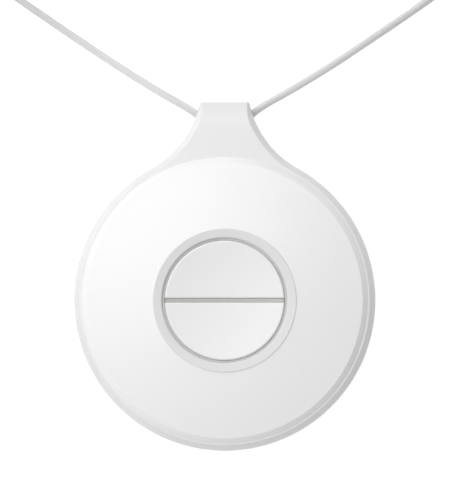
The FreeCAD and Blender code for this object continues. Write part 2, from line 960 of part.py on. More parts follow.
def make_battery_door():
    body = new_body("battery_door")
    radius = size("door_radius")
    back = size("door_back")
    plate = size("door_plate_top")
    skirt = size("door_skirt_top")
    inner = radius - size("door_skirt_wall")
    groove = radius - size("door_groove_depth")
    section = outline(body, "XZ_Plane", [
        (0, back),
        (radius - 0.3, back),
        (radius, back + 0.3),
        (radius, size("door_groove_bottom")),
        (groove, size("door_groove_bottom")),
        (groove, size("door_groove_top")),
        (radius, size("door_groove_top")),
        (radius, skirt),
        (inner, skirt),
        (inner, plate),
        (0, plate),
    ])
    turned(body, section)
    # Three bayonet lugs, standing in the gallery between the entry slots
    half = size("lug_angle") / 2
    lug = wedge(body, -half, half, radius - 0.3, size("lug_radius"), size("gallery_bottom") + 0.05)
    lug_pad = pad(body, lug, size("gallery_top") - size("gallery_bottom") - 0.1)
    around(body, [lug_pad], 3)
    # Coin slot across the outer face, with round ends
    slot = long_slot(body, size("coin_slot_reach"), size("coin_slot_half"), (0, 0, back))
    pocket(body, slot, size("coin_slot_depth"), upward=True)
    return keep(body)


def make_door_seal():
    # O-ring in the groove round the door's skirt
    made = doc.addObject("Part::Torus", "door_seal")
    middle = (size("door_groove_bottom") + size("door_groove_top")) / 2
    made.setExpression("Radius1", (size("door_radius") - 0.15).formula)
    made.setExpression("Radius2", size("seal_section").formula)
    made.setExpression("Placement.Base.z", middle.formula)
    return keep(made)


def make_cap_seal():
    body = new_body("cap_seal")
    shelf = size("shelf_height")
    top = size("cap_rim_bottom")
    inner = size("cavity_radius") + 0.15
    outer = size("cap_skirt_radius") - 0.05
    bevel = 0.12
    section = outline(body, "XZ_Plane", [
        (inner + bevel, shelf),
        (outer - bevel, shelf),
        (outer, shelf + bevel),
        (outer, top - bevel),
        (outer - bevel, top),
        (inner + bevel, top),
        (inner, top - bevel),
        (inner, shelf + bevel),
    ])
    turned(body, section)
    return keep(body)


# Fasteners

def pan_screw(body, kind, seat, tall, lift):
    # Screw turned from its half section; tall is above zero where the head stands over its seat
    head = size(kind + "_head")
    shank = size(kind + "_radius")
    tip = size(kind + "_tip")
    point = 0.5 if tip.value > seat.value else -0.5
    section = outline(body, "XZ_Plane", [
        (0, seat + tall),
        (head - 0.25, seat + tall),
        (head, seat + tall * 0.75),
        (head, seat),
        (shank, seat),
        (shank, tip - point),
        (shank - 0.3, tip),
        (0, tip),
    ], lift)
    return turned(body, section, axis=(section, ["V_Axis"]))


def make_screws():
    case = new_body("case_screws")
    first = pan_screw(case, "case_screw", size("case_screw_seat"), -size("case_screw_height"),
                      (0, 0, size("pillar_circle")))
    around(case, [first], 3)
    keep(case)
    board = new_body("board_screws")
    post_x, post_y = polar(size("post_angle"), size("post_circle"))
    one = pan_screw(board, "board_screw", size("board_top"), size("board_screw_height"),
                    (post_x, 0, -post_y))
    mirrored(board, [one])
    keep(board)


# Neck cord with its clasp

def make_coil():
    # The put-away length, wound flat: outer form of its turns
    body = new_body("neck_cord_coil")
    band = (size("coil_band") + size("cord_diameter")) / 2 + 0.05
    inner = size("coil_radius") - band
    outer = size("coil_radius") + band
    top = size("coil_layer") * 3 + size("cord_diameter") + 0.05
    bend = 0.5
    section = outline(body, "XZ_Plane", [
        (inner + bend, 0),
        (outer - bend, 0, bend),
        (outer, bend),
        (outer, top - bend, bend),
        (outer - bend, top),
        (inner + bend, top, bend),
        (inner, top - bend),
        (inner, bend, bend),
    ], (size("coil_x"), 0, -size("coil_y")))
    turned(body, section, axis=(section, ["V_Axis"]))
    doc.recompute()
    return keep(body)


def make_clasp():
    left = size("clasp_left")
    long = size("clasp_half").value
    radius = size("clasp_radius")
    place = (left, size("clasp_y"), radius)
    plug = new_body("clasp_plug")
    section = outline(plug, "XY_Plane", [
        (0, 0),
        (0, 1.0),
        (1.2, radius - 0.3),
        (2.0, radius),
        (long, radius),
        (long, 1.2),
        (long + 1.0, 1.2),
        (long + 1.5, 1.35),
        (long + 2.2, 1.35),
        (long + 3.0, 0.8),
        (long + 3.0, 0),
    ], place)
    turned(plug, section, axis=(section, ["H_Axis"]))
    keep(plug)
    socket = new_body("clasp_socket")
    section = outline(socket, "XY_Plane", [
        (long, 1.25),
        (long, radius),
        (2 * long - 2.0, radius),
        (2 * long - 1.2, radius - 0.3),
        (2 * long, 1.0),
        (2 * long, 0),
        (long + 3.2, 0),
        (long + 3.2, 0.9),
        (long + 2.4, 1.45),
        (long + 1.3, 1.45),
        (long + 1.0, 1.25),
    ], place)
    turned(socket, section, axis=(section, ["H_Axis"]))
    keep(socket)


def make_cord():
    coil = make_coil()
    make_clasp()
    lie = size("cord_diameter").value / 2
    bore_y = size("bore_y").value
    bore_z = size("bore_z").value
    clasp_x = size("clasp_left").value
    clasp_y = size("clasp_y").value
    clasp_z = size("clasp_radius").value
    entry_x = size("coil_x").value
    entry_y = size("coil_y").value + size("coil_radius").value + size("coil_band").value / 2
    upper = lie + 3 * size("coil_layer").value
    run = [
        (clasp_x, clasp_y, clasp_z),
        (clasp_x - 4.5, clasp_y, clasp_z),
        (clasp_x - 10.5, 62.6, lie),
        (-38.6, 56.2, lie),
        (-37.0, 49.4, lie),
        (-31.0, 44.8, lie),
        (-23.0, 39.2, lie),
        (-15.9, 34.3, 2.6),
        (-9.5, 30.35, 5.7),
        (-2.9, bore_y, bore_z),
        (2.9, bore_y, bore_z),
        (9.5, 30.35, 5.7),
        (15.8, 34.25, 2.6),
        (22.9, 39.1, lie),
        (30.9, 44.7, lie),
        (37.1, 49.7, lie),
        (39.4, 57.0, lie),
        (36.3, 64.8, lie),
        (28.0, entry_y + 0.4, lie),
        (21.5, entry_y, lie),
        (entry_x, entry_y, lie),
    ]
    tail = [
        (entry_x, entry_y, upper),
        (9.0, entry_y, upper - 0.1),
        (4.0, entry_y - 0.6, 1.7),
        (-0.2, clasp_y + 2.0, 1.0),
        (-4.4, clasp_y, clasp_z),
        (clasp_x + 2 * size("clasp_half").value, clasp_y, clasp_z),
    ]
    make_tube("neck_cord_run", run, lie, coil)
    make_tube("neck_cord_tail", tail, lie, coil)


make_rear_housing()
make_front_cap()
make_cap_seal()
make_bezel_ring()
make_key("upper_key", 1)
make_key("lower_key", -1)
make_light_guide()
make_key_membrane()
make_circuit_board()
make_switch("upper", 1)
make_switch("lower", -1)
make_status_led()
make_chips()
make_loop_antenna()
make_coin_cell()
make_contacts()
make_battery_door()
make_door_seal()
make_screws()
make_cord()
doc.recompute()


# Every object has to be sound before anything is written

for item in doc.Objects:
    if "Invalid" in item.State or "Error" in item.State:
        raise RuntimeError(f"{item.Label} did not build: {item.State}")
for item in nodes:
    if item.Shape.isNull() or not item.Shape.isValid():
        raise RuntimeError(f"{item.Label} has no sound shape")
for item in nodes:
    item.Shape.exportStep(f"parts/{item.Label}.step")
    print(item.Label, "solids", len(item.Shape.Solids), "volume", round(item.Shape.Volume, 2))
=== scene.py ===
import bpy
import math
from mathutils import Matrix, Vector


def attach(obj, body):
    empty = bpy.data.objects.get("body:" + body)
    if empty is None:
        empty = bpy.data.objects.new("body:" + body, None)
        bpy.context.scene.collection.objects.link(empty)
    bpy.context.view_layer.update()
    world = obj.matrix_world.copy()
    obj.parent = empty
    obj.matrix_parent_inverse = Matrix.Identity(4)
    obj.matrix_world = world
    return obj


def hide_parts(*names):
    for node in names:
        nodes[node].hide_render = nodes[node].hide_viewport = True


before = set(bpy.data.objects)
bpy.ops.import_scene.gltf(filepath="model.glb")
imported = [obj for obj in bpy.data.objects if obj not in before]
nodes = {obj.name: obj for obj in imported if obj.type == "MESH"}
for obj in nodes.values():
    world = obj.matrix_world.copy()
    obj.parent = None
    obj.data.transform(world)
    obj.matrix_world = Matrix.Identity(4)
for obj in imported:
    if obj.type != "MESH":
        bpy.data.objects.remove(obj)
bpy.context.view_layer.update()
mm = 0.001
print("frame loaded:", len(nodes), "pieces")


# Camera, straight above the pendant

cameraSetup = {
    "x": 0.055 * mm,
    "y": 7.0 * mm,
    "height": 416.5 * mm,
    "lens": 200,
    "sensor": 36,
    "clipStart": 0.01,
}


def addCamera(setup):
    place = (setup["x"], setup["y"], setup["height"])
    bpy.ops.object.camera_add(location=place, rotation=(0, 0, 0))
    camera = bpy.context.object
    camera.name = "topCamera"
    camera.data.lens = setup["lens"]
    camera.data.sensor_width = setup["sensor"]
    camera.data.clip_start = setup["clipStart"]
    bpy.context.scene.camera = camera


addCamera(cameraSetup)
print("camera set")


# Shared helpers for materials

def newMaterial(name):
    material = bpy.data.materials.new(name)
    material.use_nodes = True
    tree = material.node_tree
    shader = tree.nodes["Principled BSDF"]
    return material, tree, shader


def addNode(tree, kind, **settings):
    node = tree.nodes.new(kind)
    for key, value in settings.items():
        setattr(node, key, value)
    return node


def objectCoordinates(tree, scale=(1, 1, 1)):
    place = addNode(tree, "ShaderNodeTexCoord")
    mapping = addNode(tree, "ShaderNodeMapping")
    mapping.inputs["Scale"].default_value = scale
    tree.links.new(place.outputs["Object"], mapping.inputs["Vector"])
    return mapping.outputs["Vector"]


def noiseOf(tree, vector, size, detail=2.0):
    # size is the width of one blotch or grain, in metres
    noise = addNode(tree, "ShaderNodeTexNoise")
    noise.inputs["Scale"].default_value = 1 / size
    noise.inputs["Detail"].default_value = detail
    tree.links.new(vector, noise.inputs["Vector"])
    return noise.outputs["Fac"]


def spread(tree, source, low, high, start=0.3, end=0.7):
    # a number between low and high, driven by a texture
    band = addNode(tree, "ShaderNodeMapRange")
    band.inputs["From Min"].default_value = start
    band.inputs["From Max"].default_value = end
    band.inputs["To Min"].default_value = low
    band.inputs["To Max"].default_value = high
    tree.links.new(source, band.inputs["Value"])
    return band.outputs["Result"]


def tint(tree, source, colour, shade, start=0.3, end=0.7):
    # the colour, and the same colour times shade, blended by a texture
    ramp = addNode(tree, "ShaderNodeValToRGB")
    ramp.color_ramp.elements[0].position = start
    ramp.color_ramp.elements[1].position = end
    ramp.color_ramp.elements[0].color = [part * shade for part in colour] + [1]
    ramp.color_ramp.elements[1].color = list(colour) + [1]
    tree.links.new(source, ramp.inputs["Fac"])
    return ramp.outputs["Color"]


def bumpOf(tree, height, distance, strength=1.0, below=None):
    bump = addNode(tree, "ShaderNodeBump")
    bump.inputs["Distance"].default_value = distance
    bump.inputs["Strength"].default_value = strength
    tree.links.new(height, bump.inputs["Height"])
    if below:
        tree.links.new(below, bump.inputs["Normal"])
    return bump.outputs["Normal"]


def paint(name, material):
    mesh = nodes[name].data
    mesh.materials.clear()
    mesh.materials.append(material)


def pickNothing():
    if bpy.context.object and bpy.context.object.mode != "OBJECT":
        bpy.ops.object.mode_set(mode="OBJECT")
    bpy.ops.object.select_all(action="DESELECT")


def pickOnly(piece):
    pickNothing()
    piece.select_set(True)
    bpy.context.view_layer.objects.active = piece


# Neck cord: the same route as the frame's cord, its put-away length wound in a coil

cordPlan = {
    "diameter": 1.1 * mm,
    "length": 0.75,
    "sides": 20,
    "ringStep": 0.4 * mm,
    "claspStart": -24.0,
    "claspEnd": -8.0,
    "claspY": 64.0,
    "claspZ": 2.0,
    "boreY": 26.3,
    "boreZ": 6.6,
    "coilX": 15.0,
    "coilY": 60.0,
    "coilRadius": 6.5,
    "coilBand": 3.92,
    "layerRise": 1.11,
    "layers": 4,
    "turnsPerLayer": 3.5,
    "pointsPerTurn": 20,
    "climbSteps": 3,
    "curveSteps": 10,
    "lie": 0.557,
}


def coilPoints(plan):
    # four layers, wound inwards and outwards by turns, each one cord higher than the last
    points = []
    perTurn = plan["pointsPerTurn"]
    perLayer = int(plan["turnsPerLayer"] * perTurn)
    reach = plan["coilBand"] / 2
    stretch = 1 / math.cos(math.pi / perTurn)  # a spline through corners runs inside them
    climb = plan["climbSteps"]
    for step in range(1, perLayer * plan["layers"]):
        layer, along = divmod(step, perLayer)
        share = along / perLayer
        inward = share if layer % 2 == 0 else 1 - share
        radius = (plan["coilRadius"] + reach - 2 * reach * inward) * stretch
        level = layer
        if along < climb and layer > 0:
            level = layer - 0.5 + along / (2 * climb)
        if perLayer - along < climb and layer < plan["layers"] - 1:
            level = layer + 0.5 - (perLayer - along) / (2 * climb)
        angle = math.pi / 2 + 2 * math.pi * step / perTurn
        points.append((plan["coilX"] + radius * math.cos(angle),
                       plan["coilY"] + radius * math.sin(angle),
                       plan["lie"] + plan["layerRise"] * level))
    return points


def cordRoute(plan):
    # from the clasp over the table, up and through the tab's bore, back down and into the coil
    lie = plan["lie"]
    startX, y, z = plan["claspStart"], plan["claspY"], plan["claspZ"]
    boreY, boreZ = plan["boreY"], plan["boreZ"]
    entryX = plan["coilX"]
    entryY = plan["coilY"] + plan["coilRadius"] + plan["coilBand"] / 2
    upper = lie + 3 * plan["layerRise"]
    run = [
        (startX, y, z),
        (startX - 4.5, y, z),
        (startX - 10.5, 62.6, lie),
        (-38.6, 56.2, lie),
        (-37.0, 49.4, lie),
        (-31.0, 44.8, lie),
        (-23.0, 39.35, lie),
        (-15.9, 34.5, 2.6),
        (-9.5, 30.4, 5.7),
        (-5.4, 28.1, 6.4),
        (-2.9, boreY, boreZ),
        (2.9, boreY, boreZ),
        (5.6, 28.45, 6.4),
        (9.5, 30.56, 5.7),
        (15.8, 34.5, 2.6),
        (22.9, 39.4, lie),
        (30.9, 44.85, lie),
        (37.1, 49.7, lie),
        (39.4, 57.0, lie),
        (36.3, 64.8, lie),
        (28.0, entryY + 0.4, lie),
        (21.5, entryY, lie),
        (entryX, entryY, lie),
    ]
    tail = [
        (entryX, entryY, upper),
        (9.0, entryY, upper - 0.1),
        (4.0, entryY - 0.6, 1.7),
        (-0.2, y + 2.0, 1.0),
        (-4.4, y, z),
        (plan["claspEnd"], y, z),
    ]
    return run + coilPoints(plan) + tail


def splineThrough(points, name, steps):
    curve = bpy.data.curves.new(name, "CURVE")
    curve.dimensions = "3D"
    spline = curve.splines.new("NURBS")
    spline.points.add(len(points) - 1)
    for point, place in zip(spline.points, points):
        point.co = (place[0] * mm, place[1] * mm, place[2] * mm, 1)
    spline.order_u = 3
    spline.use_endpoint_u = True
    spline.resolution_u = steps
    holder = bpy.data.objects.new(name, curve)
    line = bpy.data.meshes.new_from_object(holder)
    places = [vertex.co.copy() for vertex in line.vertices]
    bpy.data.objects.remove(holder)
    bpy.data.curves.remove(curve)
    bpy.data.meshes.remove(line)
    return places


def evenSteps(places, step):
    # points a step apart along the line that the places draw
    kept = [places[0]]
    left = step
    for first, second in zip(places, places[1:]):
        piece = (second - first).length
        gone = 0.0
        while piece - gone >= left:
            gone += left
            kept.append(first.lerp(second, gone / piece))
            left = step
        left -= piece - gone
    if (kept[-1] - places[-1]).length > step / 2:
        kept.append(places[-1])
    else:
        kept[-1] = places[-1]
    return kept


def tubeAlong(name, places, radius, sides):
    mesh = bpy.data.meshes.new(name)
    vertices = []
    faces = []
    uvs = []
    reach = radius / math.cos(math.pi / sides)  # flats at the cord's own radius
    side = Vector((0, 0, 1))
    distance = 0.0
    marks = []
    for index, place in enumerate(places):
        before = places[max(index - 1, 0)]
        after = places[min(index + 1, len(places) - 1)]
        heading = (after - before).normalized()
        side = (side - heading * side.dot(heading)).normalized()
        other = heading.cross(side)
        if index:
            distance += (place - before).length
        marks.append(distance)
        for corner in range(sides):
            angle = 2 * math.pi * corner / sides
            vertices.append(place + (side * math.cos(angle) + other * math.sin(angle)) * reach)
    for index in range(len(places) - 1):
        for corner in range(sides):
            following = (corner + 1) % sides
            low = index * sides
            high = low + sides
            faces.append((low + corner, low + following, high + following, high + corner))
            around = (corner / sides, (corner + 1) / sides)
            uvs += [(around[0], marks[index]), (around[1], marks[index]),
                    (around[1], marks[index + 1]), (around[0], marks[index + 1])]
    last = (len(places) - 1) * sides
    faces.append(tuple(reversed(range(sides))))
    faces.append(tuple(range(last, last + sides)))
    uvs += [(0, 0)] * (2 * sides)
    mesh.from_pydata(vertices, [], faces)
    layer = mesh.uv_layers.new(name="alongCord")
    for loop, place in zip(layer.data, uvs):
        loop.uv = place
    for polygon in mesh.polygons:
        polygon.use_smooth = len(polygon.vertices) == 4
    piece = bpy.data.objects.new(name, mesh)
    bpy.context.collection.objects.link(piece)
    return piece


cordLook = {
    "colour": (0.585, 0.583, 0.587),
    # shade: colour share in the braid's low places, painted shade in its hollows
    "shade": 0.97,
    "strands": 8,
    "pitch": 0.6 * mm,
    "weaveDepth": 0.006 * mm,
    "fuzzSize": 0.1 * mm,
    "fuzzDepth": 0.002 * mm,
    "roughness": 0.7,
    "roughSpread": 0.06,
    "gloss": 0.1,
    "softness": 1.0,
    "softReach": 3.0 * mm,
}


def cordMaterial(look):
    material, tree, shader = newMaterial("lightGreyCord")
    uv = addNode(tree, "ShaderNodeUVMap", uv_map="alongCord")
    split = addNode(tree, "ShaderNodeSeparateXYZ")
    tree.links.new(uv.outputs["UV"], split.inputs["Vector"])
    waves = []
    for lean in (1, -1):
        # strands that run round the cord one way
        turn = addNode(tree, "ShaderNodeMath", operation="MULTIPLY")
        turn.inputs[1].default_value = 2 * math.pi * look["strands"] * lean
        tree.links.new(split.outputs["X"], turn.inputs[0])
        travel = addNode(tree, "ShaderNodeMath", operation="MULTIPLY_ADD")
        travel.inputs[1].default_value = 2 * math.pi / look["pitch"]
        tree.links.new(split.outputs["Y"], travel.inputs[0])
        tree.links.new(turn.outputs[0], travel.inputs[2])
        wave = addNode(tree, "ShaderNodeMath", operation="SINE")
        tree.links.new(travel.outputs[0], wave.inputs[0])
        waves.append(wave.outputs[0])
    braid = addNode(tree, "ShaderNodeMath", operation="MULTIPLY")
    tree.links.new(waves[0], braid.inputs[0])
    tree.links.new(waves[1], braid.inputs[1])
    fuzz = noiseOf(tree, objectCoordinates(tree), look["fuzzSize"], 3)
    raised = bumpOf(tree, braid.outputs[0], look["weaveDepth"], 0.6)
    # the weave's low places, where the bump sinks, are painted darker by the shade factor: painted
    # shade in the braid's hollows
    tree.links.new(tint(tree, braid.outputs[0], look["colour"], look["shade"], 0, 1),
                   shader.inputs["Base Color"])
    tree.links.new(spread(tree, fuzz, look["roughness"] - look["roughSpread"],
                          look["roughness"] + look["roughSpread"]), shader.inputs["Roughness"])
    tree.links.new(bumpOf(tree, fuzz, look["fuzzDepth"], 0.4, raised), shader.inputs["Normal"])
    shader.inputs["Specular IOR Level"].default_value = look["gloss"]
    shader.inputs["Subsurface Weight"].default_value = look["softness"]
    shader.inputs["Subsurface Radius"].default_value = (1, 1, 1)
    shader.inputs["Subsurface Scale"].default_value = look["softReach"]
    return material


def makeCord(plan):
    route = cordRoute(plan)
    line = splineThrough(route, "cordRoute", plan["curveSteps"])
    places = evenSteps(line, plan["ringStep"])
    measured = sum((b - a).length for a, b in zip(places, places[1:]))
    cord = tubeAlong("neckCord", places, plan["diameter"] / 2, plan["sides"])
    cord.data.materials.append(cordMaterial(cordLook))
    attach(cord, "pendant")
    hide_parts("neck_cord_run", "neck_cord_coil", "neck_cord_tail")
    print("cord made, length", round(measured, 4), "m")
    return cord, places


neckCord, cordLine = makeCord(cordPlan)


# Turned pieces: a filled circle drawn out ring by ring, then laid along its real axis

def drawRings(name, rings, segments):
    # rings are (distance along Z, radius) in mm, the first and the last one closed
    pickNothing()
    start, radius = rings[0]
    bpy.ops.mesh.primitive_circle_add(vertices=segments, radius=radius * mm, fill_type="NGON",
                                      location=(0, 0, 0))
    piece = bpy.context.object
    piece.name = name
    bpy.ops.object.mode_set(mode="EDIT")
    bpy.ops.mesh.select_all(action="SELECT")
    bpy.ops.transform.translate(value=(0, 0, start * mm))
    for (low, before), (high, after) in zip(rings, rings[1:]):
        rise = (0, 0, (high - low) * mm)
        bpy.ops.mesh.extrude_region_move(TRANSFORM_OT_translate={"value": rise})
        share = after / before
        bpy.ops.transform.resize(value=(share, share, 1), center_override=(0, 0, high * mm))
    bpy.ops.mesh.select_all(action="SELECT")
    bpy.ops.mesh.normals_make_consistent(inside=False)
    bpy.ops.object.mode_set(mode="OBJECT")
    return piece


def editAll(piece, action):
    # runs one edit-mode step on the whole mesh
    pickOnly(piece)
    bpy.ops.object.mode_set(mode="EDIT")
    bpy.ops.mesh.select_all(action="SELECT")
    action()
    bpy.ops.object.mode_set(mode="OBJECT")


def softenEdges(piece, width, angle=35):
    pickOnly(piece)
    bevel = piece.modifiers.new("softEdges", "BEVEL")
    bevel.width = width
    bevel.segments = 2
    bevel.limit_method = "ANGLE"
    bevel.angle_limit = math.radians(angle)
    bpy.ops.object.modifier_apply(modifier=bevel.name)
    bpy.ops.object.shade_smooth_by_angle(angle=math.radians(angle))
    even = piece.modifiers.new("evenFaces", "WEIGHTED_NORMAL")  # large faces stay flat
    even.keep_sharp = True
    bpy.ops.object.modifier_apply(modifier=even.name)


def cutWith(piece, cutter):
    pickOnly(piece)
    cut = piece.modifiers.new("cut", "BOOLEAN")
    cut.operation = "DIFFERENCE"
    cut.solver = "EXACT"
    cut.object = cutter
    bpy.ops.object.modifier_apply(modifier=cut.name)
    bpy.data.objects.remove(cutter)


def ownCopy(piece, name):
    pickOnly(piece)
    bpy.ops.object.duplicate(linked=False)
    copy = bpy.context.object
    copy.name = name
    return copy


# Breakaway clasp: two ribbed barrels that pull apart

claspPlan = {
    "left": cordPlan["claspStart"],
    "y": cordPlan["claspY"],
    "z": cordPlan["claspZ"],
    "half": 8.0,
    "halfGap": 0.02,
    "radius": 2.0,
    "cordEnd": [(0, 0.72), (0.25, 1.0), (1.2, 1.7), (1.65, 1.92), (2.1, 2.0)],
    "ribs": 5,
    "firstRib": 2.9,
    "ribPitch": 0.8,
    "ribDepth": 0.17,
    "grooveTop": 0.22,
    "grooveFloor": 0.1,
    "softEdge": 0.05 * mm,
    "segments": 48,
    "plugNose": [(8.0, 1.2), (9.0, 1.2), (9.5, 1.34), (10.2, 1.34), (11.0, 0.8)],
    "socketMouth": [(8.0, 1.26), (7.0, 1.26), (6.7, 1.45), (5.6, 1.45), (4.8, 0.9)],
}


def barrelRings(plan):
    # tapered end, then a barrel with grip grooves, up to the face where the halves meet
    rings = list(plan["cordEnd"])
    crest = plan["radius"]
    root = crest - plan["ribDepth"]
    top, floor = plan["grooveTop"], plan["grooveFloor"]
    for number in range(plan["ribs"]):
        middle = plan["firstRib"] + number * plan["ribPitch"]
        rings += [(middle - top, crest), (middle - floor, root),
                  (middle + floor, root), (middle + top, crest)]
    return rings + [(plan["half"] - plan["halfGap"], crest)]


def layAlongX(piece, plan, fromRight):
    turn = math.pi / 2 if fromRight else -math.pi / 2
    startX = plan["left"] + (2 * plan["half"] if fromRight else 0)

    def place():
        bpy.ops.transform.rotate(value=turn, orient_axis="Y", center_override=(0, 0, 0))
        bpy.ops.transform.translate(value=(startX * mm, plan["y"] * mm, plan["z"] * mm))

    editAll(piece, place)


def makeClasp(plan):
    plug = drawRings("claspPlug", barrelRings(plan) + plan["plugNose"], plan["segments"])
    socket = drawRings("claspSocket", barrelRings(plan) + plan["socketMouth"], plan["segments"])
    for piece, fromRight, node in ((plug, False, "clasp_plug"), (socket, True, "clasp_socket")):
        softenEdges(piece, plan["softEdge"])
        layAlongX(piece, plan, fromRight)
        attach(piece, "pendant")
        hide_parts(node)
    return plug, socket


claspPlug, claspSocket = makeClasp(claspPlan)
print("clasp made")


# Case screws, head down in the back's counterbores

screwPlan = {
    "circle": 17.7,
    "count": 3,
    "head": [(0.5, 1.3), (0.62, 1.5), (0.85, 1.6), (1.6, 1.6), (1.6, 0.75)],
    "threadStart": 2.2,
    "threadPitch": 0.55,
    "threadTurns": 12,
    "threadRoot": 0.56,
    "threadCrest": 0.75,
    "tip": [(9.1, 0.7), (9.6, 0.4)],
    "crossDepth": 0.7,
    "crossReach": 0.95,
    "crossWidth": 0.36,
    "softEdge": 0.04 * mm,
    "softAngle": 50,
    "segments": 40,
}


def crossCutter(plan, along):
    # one bar of the cross recess, half its height above the head's face
    pickNothing()
    bpy.ops.mesh.primitive_cube_add(size=1, location=(0, 0, 0))
    bar = bpy.context.object
    long, narrow, high = 2 * plan["crossReach"], plan["crossWidth"], 2 * plan["crossDepth"]
    sizes = (long, narrow, high) if along else (narrow, long, high)

    def shape():
        bpy.ops.transform.resize(value=[side * mm for side in sizes], center_override=(0, 0, 0))
        bpy.ops.transform.translate(value=(0, 0, plan["head"][0][0] * mm))

    editAll(bar, shape)
    return bar


def makeCaseScrews(plan):
    rings = list(plan["head"])
    level = plan["threadStart"]
    rings.append((level, plan["threadCrest"]))
    for turn in range(plan["threadTurns"]):
        rings.append((level + plan["threadPitch"] * 0.5, plan["threadRoot"]))
        level += plan["threadPitch"]
        rings.append((level, plan["threadCrest"]))
    first = drawRings("caseScrew1", rings + plan["tip"], plan["segments"])
    for along in (True, False):
        cutWith(first, crossCutter(plan, along))
    softenEdges(first, plan["softEdge"], plan["softAngle"])
    editAll(first, lambda: bpy.ops.transform.translate(value=(0, -plan["circle"] * mm, 0)))
    screws = [first]
    for number in range(1, plan["count"]):
        screw = ownCopy(first, f"caseScrew{number + 1}")
        turn = 2 * math.pi * number / plan["count"]
        editAll(screw, lambda: bpy.ops.transform.rotate(value=turn, orient_axis="Z",
                                                        center_override=(0, 0, 0)))
        screws.append(screw)
    for screw in screws:
        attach(screw, "pendant")
        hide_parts("case_screws")
    return screws


caseScrews = makeCaseScrews(screwPlan)
print("case screws made:", len(caseScrews))


# Battery door: bayonet cover with a coin slot

doorPlan = {
    "segments": 80,
    "rings": [(0.3, 10.95), (0.6, 11.25), (1.35, 11.25), (2.05, 11.25), (2.45, 11.25),
              (2.45, 10.8), (3.05, 10.8), (3.05, 11.25), (3.3, 11.25), (3.3, 10.35),
              (1.5, 10.35)],
    "radius": 11.25,
    "lugLow": 1.35,
    "lugHigh": 2.05,
    "lugReach": 0.9,
    "lugHalf": 9.0,
    "lugs": 3,
    "slotReach": 6.4,
    "slotHalf": 0.9,
    "slotDepth": 0.75,
    "slotFlare": 0.12,
    "slotSegments": 32,
    "cutterRise": 0.3,
    "softEdge": 0.06 * mm,
    "softAngle": 40,
}


def slotCutter(plan):
    # a bar with round ends, a little wider where it leaves the door's face
    pickNothing()
    half, reach, flare = plan["slotHalf"], plan["slotReach"], plan["slotFlare"]
    face = plan["rings"][0][0]
    levels = [(face - plan["cutterRise"], flare), (face, flare), (face + flare, 0),
              (face + plan["slotDepth"], 0)]
    bpy.ops.mesh.primitive_circle_add(vertices=plan["slotSegments"], radius=(half + flare) * mm,
                                      fill_type="NGON", location=(0, 0, 0))
    bar = bpy.context.object
    for vertex in bar.data.vertices:
        vertex.co.x += math.copysign(reach * mm, vertex.co.x)
    bpy.ops.object.mode_set(mode="EDIT")
    bpy.ops.mesh.select_all(action="SELECT")
    bpy.ops.transform.translate(value=(0, 0, levels[0][0] * mm))
    for (low, before), (high, after) in zip(levels, levels[1:]):
        rise = (0, 0, (high - low) * mm)
        bpy.ops.mesh.extrude_region_move(TRANSFORM_OT_translate={"value": rise})
        if before != after:
            across = (half + after) / (half + before)
            along = (reach + half + after) / (reach + half + before)
            bpy.ops.transform.resize(value=(along, across, 1), center_override=(0, 0, high * mm))
    bpy.ops.mesh.select_all(action="SELECT")
    bpy.ops.mesh.normals_make_consistent(inside=False)
    bpy.ops.object.mode_set(mode="OBJECT")
    return bar


def makeBatteryDoor(plan):
    door = drawRings("batteryDoor", plan["rings"], plan["segments"])
    third = 360 / plan["lugs"]
    for kind in (door.data.edges, door.data.vertices):
        kind.foreach_set("select", [False] * len(kind))
    for polygon in door.data.polygons:
        middle = polygon.center
        bearing = math.degrees(math.atan2(middle.y, middle.x))
        aside = abs((bearing + third / 2) % third - third / 2)
        outside = math.hypot(middle.x, middle.y) > (plan["radius"] - 0.05) * mm
        height = plan["lugLow"] * mm < middle.z < plan["lugHigh"] * mm
        polygon.select = outside and height and aside < plan["lugHalf"]
    pickOnly(door)
    bpy.ops.object.mode_set(mode="EDIT")
    bpy.ops.mesh.select_mode(type="FACE")
    bpy.ops.mesh.extrude_region_move()
    share = 1 + plan["lugReach"] / plan["radius"]
    bpy.ops.transform.resize(value=(share, share, 1), center_override=(0, 0, 0))
    bpy.ops.object.mode_set(mode="OBJECT")
    cutWith(door, slotCutter(plan))
    softenEdges(door, plan["softEdge"], plan["softAngle"])
    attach(door, "battery_door")
    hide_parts("battery_door")
    return door


batteryDoor = makeBatteryDoor(doorPlan)
print("battery door made")


# Finishes

plasticLook = {
    "flowSize": 9.0 * mm,
    "flowShade": 0.988,
    "flowDepth": 0.02 * mm,
    "poreSize": 0.12 * mm,
    "poreDepth": 0.003 * mm,
    "roughness": 0.36,
    "roughSpread": 0.03,
    "gloss": 0.85,
    "housing": 0.735,
    "cap": 0.83,
    "key": 0.783,
    "bezel": 0.673,
}


def mouldedPlastic(name, white, roughness=None):
    # a moulded gloss finish: faint flow marks in the colour, fine pores in the shine
    look = plasticLook
    rough = roughness or look["roughness"]
    apart = look["roughSpread"]
    material, tree, shader = newMaterial(name)
    where = objectCoordinates(tree)
    flow = noiseOf(tree, where, look["flowSize"], 3)
    pores = noiseOf(tree, where, look["poreSize"], 2)
    tree.links.new(tint(tree, flow, [white] * 3, look["flowShade"]), shader.inputs["Base Color"])
    tree.links.new(spread(tree, pores, rough - apart, rough + apart), shader.inputs["Roughness"])
    sink = bumpOf(tree, flow, look["flowDepth"], 0.3)
    tree.links.new(bumpOf(tree, pores, look["poreDepth"], 0.4, sink), shader.inputs["Normal"])
    shader.inputs["Specular IOR Level"].default_value = look["gloss"]
    return material


